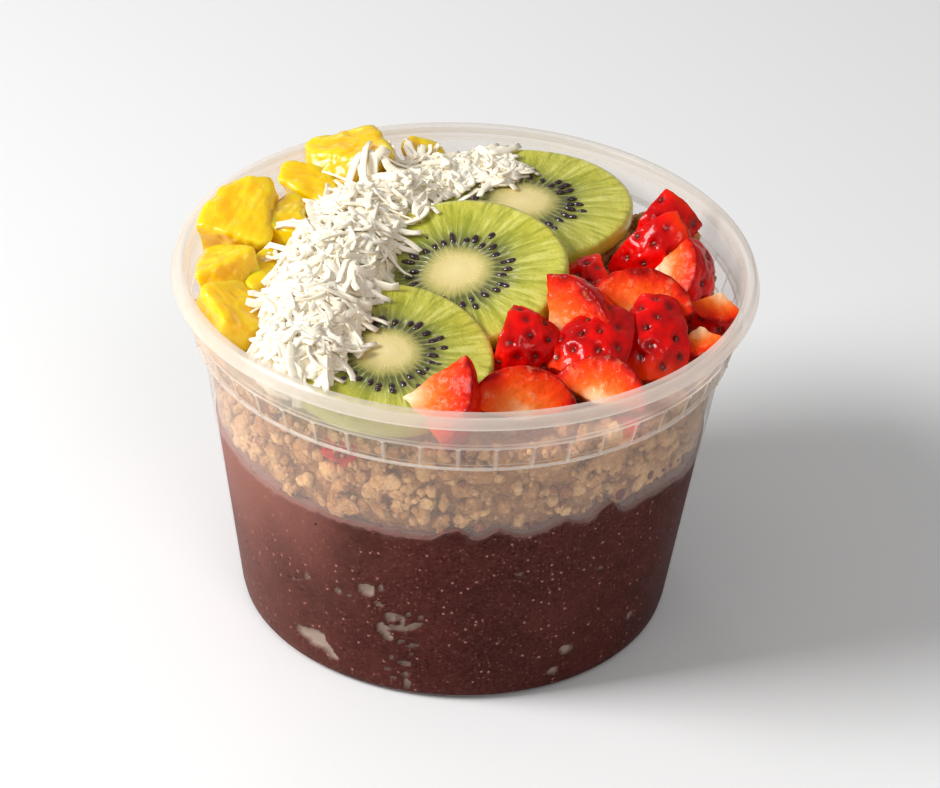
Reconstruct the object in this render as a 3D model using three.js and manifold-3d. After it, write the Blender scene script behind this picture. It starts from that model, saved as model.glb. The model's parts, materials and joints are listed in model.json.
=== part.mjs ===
// Acai bowl to go: a round one-pint deli tub of thin translucent polypropylene, filled with
// frozen acai blend, a layer of granola, and a heap of kiwi slices, strawberry and pineapple
// pieces and shredded coconut.
// Millimetres, +Z up. The origin is on the table under the middle of the tub, and -Y is the front.

import * as THREE from 'three';
import { mergeVertices } from 'three/addons/utils/BufferGeometryUtils.js';
import Module from 'manifold-3d';

const wasm = await Module();
wasm.setup();

// ---------------------------------------------------------------- driving dimensions

const GAP = 0.3; // clearance between touching pieces
const FINENESS = 0.04; // slivers thinner than this are smoothed away
const SEGMENTS = 48; // facets round the tub
const RINGS = 5; // steps from the middle out on the uneven levels inside it
const SPOKES = 24; // and steps round them
const PLENTY = 60; // reaches past the tub's wall from the middle
const WELL_BELOW = -5; // a level under everything
const HEADROOM = 30; // free height over the rim that toppings may take

// Tub
const TUB_HEIGHT = 76.2;
const WALL = 0.8;
const BASE_RADIUS = 44.0; // outer wall carried down to the table
const SHOULDER_RADIUS = 53.3; // outer wall carried up to the ledge
const LEDGE_Z = 67.5;
const FLOOR_TOP = 1.5;
const FOOT_RECESS = 0.6;
const FOOT_INNER_RADIUS = 36.0;
const CORNER_RADIUS = 1.8;
const RIB_FOOT_Z = 61.8;
const RIB_FOOT_RADIUS = 53.85;
const LEDGE_RADIUS = 55.4;
const NECK_TOP_RADIUS = 56.0;
const LIP_BOTTOM_Z = 73.4;
const LIP_RADIUS = 58.4;
const LIP_TOP_RADIUS = 57.8;
const RIM_INNER_RADIUS = 55.6;
const RIDGE = 0.3; // half height of the thin rings above and below the ribs
const PANEL_DEPTH = 0.45; // the band between the ribs lies this far behind them
const RIB_COUNT = 48;
const RIB_WIDTH = 1.2;
const RIB_END_GAP = 0.1; // a rib stops this short of the rings

// Filling
const ACAI_LEVEL = 42.7;
// Crests and hollows of the acai against the wall: degrees round from the front, height, half width
const ACAI_CRESTS = [
  [0, 2.6, 3.5], [9.5, 2.0, 3], [25, 2.8, 4], [36, 3.8, 3.5], [-68, 0.7, 10], [73, -2.5, 12],
  [112, 2.2, 5], [148, 2.8, 6], [-112, 2.4, 5], [-150, 1.8, 6],
];
const GRANOLA_LEVEL = 65.5;
const GRANOLA_DOME = 2.2; // the middle stands this much above the edge
const GRANOLA_SLOPE = 0.03; // and it rises towards the back
const PLAN_RADIUS = 52; // radius over which the granola's dome falls away

// Kiwi slices: centre of the top face, half width, half depth, lean in degrees, and the
// direction of the lean (degrees anticlockwise from +X)
const KIWI_THICKNESS = 4.0;
const KIWIS = [
  { name: 'kiwi_slice_back', at: [11, 29.5, 73.2], half: [22.8, 21.3], lean: 2.8, towards: -90 },
  { name: 'kiwi_slice_middle', at: [-1.8, -1, 74], half: [21.7, 21.7], lean: 14.5, towards: -125 },
  { name: 'kiwi_slice_front', at: [-14.5, -29, 72], half: [20.6, 22], lean: 7.4, towards: -73 },
];

// Strawberry pieces: a wedge of a berry between two cross cuts. heading and lift say where the
// middle of the skin faces, spin turns the berry's tip round that direction (degrees); wedge is
// the angle between the two long cuts, and crown and tip are the shares of the half length kept.
const BERRY_LENGTH = 30;
const BERRY_WIDTH = 25;
const BERRY_CENTRING = 0.55; // the middle of a wedge lies this share of the radius out from the core
const STRAWBERRIES = [
  { at: [39.3, 19.2, 73.5], heading: -72, lift: 39, spin: 128, wedge: 75, crown: 0.48, tip: 0.7, size: 0.74 },
  { at: [36.9, 12.1, 72], heading: -96, lift: 33, spin: 121, wedge: 72, crown: 0.6, tip: 0.85, size: 0.82 },
  { at: [44.2, 2.4, 73.2], heading: -20, lift: 17, spin: 43, wedge: 88, crown: 0.5, tip: 0.15, size: 0.84 },
  { at: [36.2, -8.1, 72.8], heading: 69, lift: 41, spin: -174, wedge: 130, crown: 0.25, tip: 0.55, size: 0.92 },
  { at: [25.8, -13.3, 72.5], heading: 14, lift: 59, spin: -146, wedge: 90, crown: 0.3, tip: 0.75, size: 1.12 },
  { at: [13.4, -25.1, 72], heading: -99, lift: 43, spin: -100, wedge: 105, crown: 0.45, tip: 0.68, size: 0.72 },
  { at: [26, -24.6, 73], heading: -107, lift: 49, spin: -14, wedge: 95, crown: 0.65, tip: 0.75, size: 0.84 },
  { at: [37.1, -20.2, 72], heading: -89, lift: 39, spin: -5, wedge: 88, crown: 0.72, tip: 0.72, size: 0.82 },
  { at: [49.5, -8.8, 70.3], heading: -99, lift: -23, spin: -8, wedge: 105, crown: 0.35, tip: 0.15, size: 0.66 },
  { at: [46.7, -19.4, 69.3], heading: -82, lift: -20, spin: -173, wedge: 100, crown: 0.15, tip: 0.4, size: 0.6 },
  { at: [28.2, -34.4, 70.2], heading: 66, lift: 45, spin: -179, wedge: 150, crown: 0.2, tip: 0.45, size: 0.8 },
  { at: [11.6, -37.7, 70.2], heading: 93, lift: 64, spin: 179, wedge: 150, crown: 0.2, tip: 0.35, size: 0.88 },
  { at: [-1.5, -43.2, 68.3], heading: -25, lift: 14, spin: -140, wedge: 80, crown: 0.2, tip: 0.4, size: 1.2 },
  { at: [23.8, 5.1, 69], heading: -109, lift: 68, spin: 125, wedge: 85, crown: 0.5, tip: 0.5, size: 0.62 },
  { at: [31, -38.4, 62], heading: 135, lift: 61, spin: 145, wedge: 80, crown: 0.3, tip: 0.3, size: 0.55 },
  { at: [-22.6, -43.6, 58.3], heading: -90, lift: 32, spin: 150, wedge: 90, crown: 0.3, tip: 0.4, size: 0.42 },
];

// Pineapple pieces: centre, full length, width and height, heading, lift and spin in degrees
const PINEAPPLE_TAPER = 0.3; // how much narrower the inner end is
const SQUARENESS = 4; // the higher, the squarer the pieces
const PINEAPPLES = [
  { at: [-25, 40, 72.6], size: [17, 14, 13], heading: 15, lift: 8, spin: 0 },
  { at: [-45, 18, 73], size: [18, 13, 12], heading: 70, lift: 20, spin: 10 },
  { at: [-31, 33.5, 70.6], size: [12, 10, 8.5], heading: -20, lift: 15, spin: 20 },
  { at: [-48, -1, 71], size: [12.5, 10, 9], heading: 110, lift: -10, spin: -10 },
  { at: [-45, -18, 70.3], size: [14.5, 11.5, 10], heading: 120, lift: 5, spin: 15 },
  { at: [-36, 17, 71.5], size: [13, 10.5, 9.5], heading: 60, lift: 0, spin: 0 },
  { at: [-10, 50, 72.7], size: [7.5, 5.5, 4.5], heading: 0, lift: 0, spin: 0 },
  { at: [-40, -1.5, 70.5], size: [9, 8, 7.5], heading: 40, lift: 10, spin: 0 },
];

// Coconut heap: lumps along the band that it lies in, each a centre and a radius
const COCONUT_LUMPS = [
  [2, 42, 69.5, 8.5], [-8, 38.5, 69.5, 9.5], [-15, 29, 70, 11], [-21, 17, 71, 12.5],
  [-24.5, 5, 71.5, 12.5], [-27, -6, 71.5, 12.5], [-29, -18, 71, 12], [-31, -30, 69.5, 11],
];
const LUMP_FLATNESS = 0.65;
const LUMP_NOISE = 0.07;

// ---------------------------------------------------------------- solids from three.js shapes

const radians = THREE.MathUtils.degToRad;

/** The closed geometry as a solid that can be joined and cut. */
function solidOf(geometry) {
  const bare = new THREE.BufferGeometry();
  bare.setAttribute('position', geometry.getAttribute('position').clone());
  if (geometry.index) bare.setIndex(geometry.index.clone());
  const merged = mergeVertices(bare, 1e-4);
  const corners = merged.index.array;
  const triangles = [];
  for (let i = 0; i < corners.length; i += 3) {
    const [a, b, c] = [corners[i], corners[i + 1], corners[i + 2]];
    if (a !== b && b !== c && c !== a) triangles.push(a, b, c);
  }
  return new wasm.Manifold(new wasm.Mesh({
    numProp: 3,
    vertProperties: new Float32Array(merged.getAttribute('position').array),
    triVerts: new Uint32Array(triangles),
  }));
}

/** The biggest of the bodies that a cut leaves. */
function largest(solid) {
  const bodies = solid.decompose();
  return bodies.reduce((best, body) => (body.volume() > best.volume() ? body : best));
}

function meshOf(name, solid, material) {
  const { vertProperties, triVerts, numProp } = largest(solid).simplify(FINENESS).getMesh();
  const points = new Float32Array((vertProperties.length / numProp) * 3);
  for (let i = 0; i < points.length / 3; i++) {
    for (let k = 0; k < 3; k++) points[i * 3 + k] = vertProperties[i * numProp + k];
  }
  const geometry = new THREE.BufferGeometry();
  geometry.setAttribute('position', new THREE.BufferAttribute(points, 3));
  geometry.setIndex(Array.from(triVerts));
  geometry.computeVertexNormals();
  const mesh = new THREE.Mesh(geometry, material);
  mesh.name = name;
  return mesh;
}

/** A body turned about +Z from a profile of [radius, height] points. */
function turned(profile, segments = SEGMENTS) {
  const points = profile.map(([radius, height]) => new THREE.Vector2(radius, height));
  return new THREE.LatheGeometry(points, segments).rotateX(Math.PI / 2);
}

/** Local +X to the heading and lift, with the rest turned round it by spin. */
function turn(heading, lift, spin) {
  return new THREE.Euler(radians(spin), -radians(lift), radians(heading), 'ZYX');
}

function placed(geometry, at, euler) {
  const matrix = new THREE.Matrix4().makeRotationFromEuler(euler).setPosition(...at);
  return geometry.applyMatrix4(matrix);
}

// ---------------------------------------------------------------- tub

const wallRadius = (z) => BASE_RADIUS + (SHOULDER_RADIUS - BASE_RADIUS) * (z / LEDGE_Z);
const bandRadius = (z) => THREE.MathUtils.mapLinear(z, RIB_FOOT_Z, LEDGE_Z, RIB_FOOT_RADIUS, LEDGE_RADIUS);

/** The inside of the tub, from the rim down to the floor, set back by clearance. */
function innerProfile(clearance) {
  const back = WALL + clearance;
  return [
    [RIM_INNER_RADIUS - clearance, TUB_HEIGHT - 0.4],
    [RIM_INNER_RADIUS - 0.5 - clearance, LIP_BOTTOM_Z],
    [LEDGE_RADIUS - back - 0.1, LEDGE_Z + 0.6],
    [bandRadius(LEDGE_Z) - PANEL_DEPTH - back, LEDGE_Z - 0.5],
    [bandRadius(RIB_FOOT_Z) - PANEL_DEPTH - back, RIB_FOOT_Z + 0.4],
    [wallRadius(RIB_FOOT_Z) - back, RIB_FOOT_Z - 0.6],
    [wallRadius(FLOOR_TOP + CORNER_RADIUS) - back, FLOOR_TOP + CORNER_RADIUS],
    [wallRadius(FLOOR_TOP) - back - CORNER_RADIUS, FLOOR_TOP + clearance],
    [0, FLOOR_TOP + clearance],
  ];
}

function makeTub() {
  const outside = [
    [0, FOOT_RECESS],
    [FOOT_INNER_RADIUS, FOOT_RECESS],
    [FOOT_INNER_RADIUS + FOOT_RECESS, 0],
    [BASE_RADIUS - CORNER_RADIUS, 0],
    [BASE_RADIUS - CORNER_RADIUS * 0.3, CORNER_RADIUS * 0.3],
    [wallRadius(CORNER_RADIUS), CORNER_RADIUS],
    [wallRadius(RIB_FOOT_Z - RIDGE), RIB_FOOT_Z - RIDGE],
    [RIB_FOOT_RADIUS, RIB_FOOT_Z - RIDGE],
    [RIB_FOOT_RADIUS, RIB_FOOT_Z + RIDGE],
    [bandRadius(RIB_FOOT_Z + RIDGE) - PANEL_DEPTH, RIB_FOOT_Z + RIDGE],
    [bandRadius(LEDGE_Z - RIDGE) - PANEL_DEPTH, LEDGE_Z - RIDGE],
    [LEDGE_RADIUS, LEDGE_Z - RIDGE],
    [LEDGE_RADIUS, LEDGE_Z + RIDGE],
    [NECK_TOP_RADIUS, LIP_BOTTOM_Z],
    [NECK_TOP_RADIUS + 0.2, TUB_HEIGHT - 1.2],
    [LIP_TOP_RADIUS - 0.4, TUB_HEIGHT - 1.2],
    [LIP_RADIUS - WALL, LIP_BOTTOM_Z],
    [LIP_RADIUS, LIP_BOTTOM_Z],
    [LIP_TOP_RADIUS, TUB_HEIGHT - 0.7],
    [LIP_TOP_RADIUS - 0.7, TUB_HEIGHT],
    [RIM_INNER_RADIUS + 0.5, TUB_HEIGHT],
  ];
  let tub = solidOf(turned([...outside, ...innerProfile(0)]));
  const slope = Math.atan2(LEDGE_RADIUS - RIB_FOOT_RADIUS, LEDGE_Z - RIB_FOOT_Z);
  const ribHeight = LEDGE_Z - RIB_FOOT_Z - 2 * RIDGE - 2 * RIB_END_GAP;
  for (let i = 0; i < RIB_COUNT; i++) {
    const rib = new THREE.BoxGeometry(PANEL_DEPTH * 2, RIB_WIDTH, ribHeight / Math.cos(slope));
    rib.rotateY(slope);
    rib.translate(bandRadius((RIB_FOOT_Z + LEDGE_Z) / 2) - PANEL_DEPTH, 0, (RIB_FOOT_Z + LEDGE_Z) / 2);
    rib.rotateZ((i / RIB_COUNT) * 2 * Math.PI);
    tub = tub.add(solidOf(rib));
  }
  return tub;
}

/** All the room inside the tub and above it, set back from the wall by clearance. */
function roomInside(clearance) {
  const above = TUB_HEIGHT + HEADROOM;
  const profile = innerProfile(clearance).slice(1);
  const mouth = RIM_INNER_RADIUS - clearance;
  return solidOf(turned([[0, above], [mouth, above], [mouth, TUB_HEIGHT], ...profile].reverse()));
}

// ---------------------------------------------------------------- acai and granola

function acaiTop(x, y) {
  const round = THREE.MathUtils.radToDeg(Math.atan2(x, -y));
  const nearWall = THREE.MathUtils.smoothstep(Math.hypot(x, y), 35, 48);
  const crests = ACAI_CRESTS.map(([at, height, width]) => height * Math.exp(-(((round - at) / width) ** 2)));
  const swell = 0.5 * Math.sin(x / 7) * Math.cos(y / 9);
  return ACAI_LEVEL + swell + nearWall * crests.reduce((sum, crest) => sum + crest, 0);
}

function granolaTop(x, y) {
  const dome = GRANOLA_DOME * (1 - (x * x + y * y) / PLAN_RADIUS ** 2);
  const lumps = 0.7 * Math.sin(x / 2.9 + 1) * Math.cos(y / 3.3) + 0.4 * Math.sin((x + y) / 1.9);
  return GRANOLA_LEVEL + GRANOLA_SLOPE * y + dome + lumps;
}

/** Everything between two uneven levels, out past the wall. */
function between(lower, upper) {
  const points = [];
  const faces = [];
  const ringStart = (side, ring) => side * (1 + RINGS * SPOKES) + (ring === 0 ? 0 : 1 + (ring - 1) * SPOKES);
  for (const level of [lower, upper]) {
    points.push(0, 0, level(0, 0));
    for (let ring = 1; ring <= RINGS; ring++) {
      for (let k = 0; k < SPOKES; k++) {
        const round = (k / SPOKES) * 2 * Math.PI;
        const [x, y] = [(ring / RINGS) * PLENTY * Math.sin(round), (ring / RINGS) * PLENTY * Math.cos(round)];
        points.push(x, y, level(x, y));
      }
    }
  }
  for (const side of [0, 1]) {
    const face = (a, b, c) => (side ? faces.push(a, c, b) : faces.push(a, b, c));
    for (let k = 0; k < SPOKES; k++) {
      const next = (k + 1) % SPOKES;
      face(ringStart(side, 0), ringStart(side, 1) + k, ringStart(side, 1) + next);
      for (let ring = 1; ring < RINGS; ring++) {
        const [inner, outer] = [ringStart(side, ring), ringStart(side, ring + 1)];
        face(inner + k, outer + k, outer + next);
        face(inner + k, outer + next, inner + next);
      }
    }
  }
  const [low, high] = [ringStart(0, RINGS), ringStart(1, RINGS)];
  for (let k = 0; k < SPOKES; k++) {
    const next = (k + 1) % SPOKES;
    faces.push(low + k, high + next, low + next);
    faces.push(low + k, high + k, high + next);
  }
  const geometry = new THREE.BufferGeometry();
  geometry.setAttribute('position', new THREE.BufferAttribute(new Float32Array(points), 3));
  geometry.setIndex(faces);
  return solidOf(geometry);
}

// ---------------------------------------------------------------- fruit

/** A cross slice of a kiwi with its skin side slightly bulged, made larger all over by grown. */
function kiwiSlice({ at, half, lean, towards }, grown = 0) {
  const thickness = KIWI_THICKNESS + 2 * grown;
  const profile = [
    [0, 0], [0.97, 0], [1, 0.3], [1, 0.7], [0.97, 1], [0, 1],
  ].map(([radius, height]) => [radius, (height - 1) * thickness + grown]);
  const slice = turned(profile, 28).scale(half[0] + grown, half[1] + grown, 1);
  const direction = radians(towards);
  const axis = new THREE.Vector3(-Math.sin(direction), Math.cos(direction), 0);
  slice.applyMatrix4(new THREE.Matrix4().makeRotationAxis(axis, radians(lean)).setPosition(...at));
  return solidOf(slice);
}

/** Radius of a whole berry along its axis: 0 at the crown to 1 at the tip. */
function berryRadius(along) {
  return Math.sin(Math.PI * Math.min(1, 0.16 + 0.84 * along ** 0.92)) ** 0.72;
}

/** A wedge of a berry, centred on its own middle, then placed. */
function strawberryPiece({ at, heading, lift, spin, wedge, crown, tip, size }, grown = 0) {
  const [length, width] = [BERRY_LENGTH * size, BERRY_WIDTH * size];
  const steps = 5;
  const profile = [[0, -length / 2]];
  for (let i = 0; i < steps; i++) {
    const along = i / steps;
    profile.push([(width / 2) * berryRadius(along) + grown, (along - 0.5) * length]);
  }
  profile.push([0, length / 2 + grown]);
  const keep = solidOf(turned(profile, 12));
  const far = 3 * BERRY_LENGTH;
  const slab = (depth) => new THREE.BoxGeometry(far, far, far).translate(-far / 2 + depth, 0, 0);
  let piece = keep;
  for (const side of [-1, 1]) {
    const cut = slab(-grown).rotateZ(side * radians(90 - wedge / 2));
    piece = piece.subtract(solidOf(cut));
  }
  const low = -crown * (length / 2) - grown;
  const high = tip * (length / 2) + grown;
  piece = piece.subtract(solidOf(new THREE.BoxGeometry(far, far, far).translate(0, 0, low - far / 2)));
  piece = piece.subtract(solidOf(new THREE.BoxGeometry(far, far, far).translate(0, 0, high + far / 2)));
  const middle = [-(width / 2) * BERRY_CENTRING, 0, -(high + low) / 2];
  const pose = new THREE.Matrix4().makeRotationFromEuler(turn(heading, lift, spin)).setPosition(...at);
  pose.multiply(new THREE.Matrix4().makeTranslation(...middle));
  return piece.transform(pose.elements);
}

/** A tidbit of pineapple: a rounded block, narrower at its inner end, with uneven faces. */
function pineapplePiece({ at, size, heading, lift, spin }, index, grown = 0) {
  const block = new THREE.IcosahedronGeometry(1, 1);
  const position = block.getAttribute('position');
  const [a, b, c] = size.map((side) => side / 2);
  const direction = new THREE.Vector3();
  for (let i = 0; i < position.count; i++) {
    direction.fromBufferAttribute(position, i).normalize();
    const { x, y, z } = direction;
    const shares = [x / a, y / b, z / c].map((share) => Math.abs(share) ** SQUARENESS);
    const square = (shares[0] + shares[1] + shares[2]) ** (-1 / SQUARENESS);
    const uneven = 1 + 0.05 * Math.sin(5 * x + 3 * index) * Math.cos(4 * y - index) + 0.04 * Math.sin(6 * z + index);
    const reach = square * uneven + grown;
    const narrow = 1 - PINEAPPLE_TAPER * (x * square) / a;
    position.setXYZ(i, x * reach, y * reach * narrow, z * reach);
  }
  return solidOf(placed(block, at, turn(heading, lift, spin)));
}

/** The shredded coconut as one lumpy heap. */
function coconutHeap() {
  return COCONUT_LUMPS.map(([x, y, z, radius], index) => {
    const lump = new THREE.IcosahedronGeometry(radius, 1);
    const position = lump.getAttribute('position');
    for (let i = 0; i < position.count; i++) {
      const [px, py, pz] = [position.getX(i), position.getY(i), position.getZ(i)];
      const swell = 1 + LUMP_NOISE * Math.sin(px * 0.9 + index) * Math.cos(py * 0.8 + pz * 0.7);
      position.setXYZ(i, px * swell, py * swell, pz * swell * LUMP_FLATNESS);
    }
    return solidOf(lump.translate(x, y, z));
  }).reduce((heap, lump) => heap.add(lump));
}

// ---------------------------------------------------------------- assembly

const material = (color, roughness) => new THREE.MeshStandardMaterial({ color, roughness, metalness: 0 });
const polypropylene = material(0xe6dfd4, 0.35);
const acaiBlend = material(0x5a2f2c, 0.55);
const granola = material(0xb98c5e, 0.8);
const kiwiFlesh = material(0xa9b53a, 0.35);
const strawberryRed = material(0xc0140c, 0.3);
const pineappleYellow = material(0xf8c91c, 0.3);
const coconutWhite = material(0xf0ebe0, 0.7);

const bowl = new THREE.Group();
bowl.add(meshOf('tub', makeTub(), polypropylene));

const room = roomInside(GAP);
const belowAcai = between(() => WELL_BELOW, acaiTop);
bowl.add(meshOf('acai', room.intersect(belowAcai), acaiBlend));

// Each piece of fruit is cut where it meets the ones laid before it.
const laid = [];
function lay(name, shape, fruit) {
  const solid = laid.reduce((rest, other) => rest.subtract(other), shape(0).intersect(room));
  laid.push(shape(GAP));
  bowl.add(meshOf(name, solid, fruit));
}
const number = (index) => String(index + 1).padStart(2, '0');
KIWIS.forEach((slice) => lay(slice.name, (grown) => kiwiSlice(slice, grown), kiwiFlesh));
STRAWBERRIES.forEach((piece, index) => {
  lay(`strawberry_${number(index)}`, (grown) => strawberryPiece(piece, grown), strawberryRed);
});
PINEAPPLES.forEach((piece, index) => {
  lay(`pineapple_${number(index)}`, (grown) => pineapplePiece(piece, index, grown), pineappleYellow);
});

const allFruit = laid.reduce((all, piece) => all.add(piece));
const aboveAcai = (x, y) => acaiTop(x, y) + GAP;
const granolaLayer = between(aboveAcai, granolaTop);
bowl.add(meshOf('granola', room.intersect(granolaLayer).subtract(allFruit), granola));

const belowCoconut = between(() => WELL_BELOW, (x, y) => granolaTop(x, y) + GAP);
const coconut = coconutHeap().intersect(room).subtract(allFruit).subtract(belowCoconut);
bowl.add(meshOf('coconut', coconut, coconutWhite));

export default bowl;
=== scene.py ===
import json
import random
from math import atan2, cos, degrees, exp, hypot, pi, radians, sin, sqrt, tau

import bmesh
import bpy
import numpy as np
from mathutils import Matrix, Vector
from mathutils.bvhtree import BVHTree
from mathutils.noise import noise

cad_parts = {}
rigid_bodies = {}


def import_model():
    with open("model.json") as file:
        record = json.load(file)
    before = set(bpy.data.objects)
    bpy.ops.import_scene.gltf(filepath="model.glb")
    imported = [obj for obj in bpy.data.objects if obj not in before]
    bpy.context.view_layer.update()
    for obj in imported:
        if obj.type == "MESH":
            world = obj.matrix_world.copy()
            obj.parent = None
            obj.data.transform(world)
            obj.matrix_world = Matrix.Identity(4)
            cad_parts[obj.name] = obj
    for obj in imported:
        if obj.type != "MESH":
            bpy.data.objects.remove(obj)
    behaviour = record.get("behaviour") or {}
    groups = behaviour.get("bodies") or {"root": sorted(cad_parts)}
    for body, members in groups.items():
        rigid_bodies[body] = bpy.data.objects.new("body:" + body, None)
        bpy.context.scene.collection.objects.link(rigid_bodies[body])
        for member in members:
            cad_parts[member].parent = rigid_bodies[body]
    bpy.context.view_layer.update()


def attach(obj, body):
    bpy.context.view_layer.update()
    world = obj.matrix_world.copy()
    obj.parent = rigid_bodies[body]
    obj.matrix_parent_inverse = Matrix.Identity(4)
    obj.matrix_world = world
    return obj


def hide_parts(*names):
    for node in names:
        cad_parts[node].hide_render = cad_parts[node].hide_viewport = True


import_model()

MM = 0.001
SCENE = bpy.context.scene


# ------ camera, floor and light
# The camera stands a short arm's length off and looks down into the tub, slightly rolled.
# The object stands on a plain white sweep, lit from the left by one big soft box.

CAMERA_PLACE = Vector((0.0, -0.6358, 0.4478))
CAMERA_YAW, CAMERA_PITCH, CAMERA_ROLL = 0.17, 32.38, 2.38
CAMERA_LENS, SENSOR_WIDTH = 142.35, 36.0


def linked(name, data):
    """An object of a mesh, a light, a camera or a curve, put in the scene."""
    made = bpy.data.objects.new(name, data)
    SCENE.collection.objects.link(made)
    return made


camera = linked("camera", bpy.data.cameras.new("camera"))
camera.data.lens = CAMERA_LENS
camera.data.sensor_width = SENSOR_WIDTH
camera.data.clip_start, camera.data.clip_end = 0.01, 20.0
aimed = Matrix.Rotation(-radians(CAMERA_YAW), 4, "Z") @ Matrix.Rotation(radians(90 - CAMERA_PITCH), 4, "X")
camera.matrix_world = Matrix.Translation(CAMERA_PLACE) @ aimed @ Matrix.Rotation(radians(CAMERA_ROLL), 4, "Z")
SCENE.camera = camera

world = bpy.data.worlds.new("studio")
world.use_nodes = True
sky = world.node_tree.nodes["Background"].inputs
sky["Color"].default_value = (1.0, 1.0, 1.0, 1.0)
sky["Strength"].default_value = 0.3
SCENE.world = world
SCENE.view_settings.view_transform = "Standard"
SCENE.view_settings.look = "None"


def soft_box(name, place, aim, size, power):
    light = bpy.data.lights.new(name, "AREA")
    light.shape, light.size, light.size_y, light.energy = "RECTANGLE", size[0], size[1], power
    lamp = linked(name, light)
    direction = Vector(aim) - Vector(place)
    lamp.matrix_world = Matrix.Translation(place) @ direction.to_track_quat("-Z", "Y").to_matrix().to_4x4()


soft_box("key_left", (-0.85, -0.22, 0.72), (0, 0, 0.05), (0.45, 0.45), 13.5)
soft_box("front_fill", (0.25, -0.80, 0.85), (0, 0, 0.06), (0.4, 0.4), 2.0)
soft_box("back_glint", (-0.25, 0.80, 0.62), (0, 0, 0.07), (0.2, 0.12), 0.3)


def srgb(*display):
    """The linear values that shaders take, of a colour given as 0 to 255 display values."""
    shares = [value / 255 for value in display]
    linear = [share / 12.92 if share <= 0.04045 else ((share + 0.055) / 1.055) ** 2.4 for share in shares]
    return linear + [1.0]


class Field:
    """A value in a finish. Sums, products and powers of fields become Math nodes."""

    def __init__(self, finish, output):
        self.finish, self.output = finish, output

    def __add__(self, other):
        return self.finish.maths("ADD", self, other)

    def __sub__(self, other):
        return self.finish.maths("SUBTRACT", self, other)

    def __rsub__(self, other):
        return self.finish.maths("SUBTRACT", other, self)

    def __mul__(self, other):
        return self.finish.maths("MULTIPLY", self, other)

    def __pow__(self, other):
        return self.finish.maths("POWER", self, other)

    __radd__, __rmul__ = __add__, __mul__


class Finish:
    """A material built on one Principled shader, whose constant sockets are set directly."""

    def __init__(self, name, **constants):
        self.material = bpy.data.materials.new(name)
        self.material.use_nodes = True
        self.tree = self.material.node_tree
        self.shader = self.tree.nodes["Principled BSDF"]
        self.feed(**constants)

    def plug(self, socket, value):
        """Links a field to a socket or sets a constant. Colours come as 0 to 255 display values."""
        if isinstance(value, Field):
            self.tree.links.new(value.output, socket)
        elif socket.type == "RGBA" and len(value) == 3:
            socket.default_value = srgb(*value)
        else:
            socket.default_value = value

    def node(self, kind, settings=None, inputs=None, output=0):
        made = self.tree.nodes.new("ShaderNode" + kind)
        for name, value in (settings or {}).items():
            if name == "stops":
                for _ in range(len(value) - 2):
                    made.color_ramp.elements.new(0.5)
                for element, (place, colour) in zip(made.color_ramp.elements, value):
                    element.position, element.color = place, srgb(*colour)
            else:
                setattr(made, name, value)
        for key, value in (inputs or {}).items():
            self.plug(made.inputs[key], value)
        return Field(self, made.outputs[output])

    def maths(self, operation, first, second=0.0):
        return self.node("Math", {"operation": operation}, {0: first, 1: second})

    def place(self):
        return self.node("TexCoord", output="Object")

    def attribute(self, name, output="Fac"):
        return self.node("Attribute", {"attribute_name": name}, output=output)

    def vector(self, operation, first, second=(0, 0, 0), output=0):
        return self.node("VectorMath", {"operation": operation}, {0: first, 1: second}, output)

    def part(self, axis, vector=None):
        """X, Y or Z of a vector, or else of the place on the object."""
        return self.node("SeparateXYZ", inputs={"Vector": vector or self.place()}, output=axis)

    def noise(self, scale, detail=3.0, roughness=0.5, stretch=(1, 1, 1), vector=None):
        where = self.node("Mapping", inputs={"Vector": vector or self.place(), "Scale": stretch})
        sockets = {"Vector": where, "Scale": scale, "Detail": detail, "Roughness": roughness}
        return self.node("TexNoise", inputs=sockets)

    def cells(self, scale, output="Distance"):
        return self.node("TexVoronoi", inputs={"Vector": self.place(), "Scale": scale}, output=output)

    def step(self, value, low, high):
        """0 at low, 1 at high, smooth between."""
        return self.node("MapRange", {"interpolation_type": "SMOOTHSTEP"},
                         {"Value": value, "From Min": low, "From Max": high})

    def blend(self, factor, first, second):
        """Mixes two colours."""
        return self.node("Mix", {"data_type": "RGBA"}, {"Factor": factor, 6: first, 7: second}, 2)

    def tint(self, base, value, low, high, share, colour):
        """Lays a share of a colour over the base where a value goes from low to high."""
        return self.blend(self.step(value, low, high) * share, base, colour)

    def ramp(self, value, *stops):
        return self.node("ValToRGB", {"stops": stops}, {"Fac": value}, output="Color")

    def bump(self, height, distance, strength=1.0, under=None):
        inputs = {"Height": height, "Distance": distance, "Strength": strength}
        if under is not None:
            inputs["Normal"] = under
        return self.node("Bump", inputs=inputs)

    def feed(self, **fields):
        for socket, value in fields.items():
            self.plug(self.shader.inputs[socket.replace("_", " ")], value)


floor_shape = bmesh.new()
bmesh.ops.create_grid(floor_shape, x_segments=1, y_segments=1, size=6.0)
floor_data = bpy.data.meshes.new("floor")
floor_shape.to_mesh(floor_data)
floor_shape.free()
floor_data.materials.append(Finish("white_sweep", Base_Color=(0.9, 0.9, 0.9, 1), Roughness=0.8).material)
floor = linked("floor", floor_data)


# ------ tub
# A round one-pint deli tub, injection moulded in thin natural polypropylene, so it is milky and
# half clear. It has a turned-down lip, a ledge that the lid snaps over, and a band of small
# upright ribs that keep stacked tubs apart.

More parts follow.
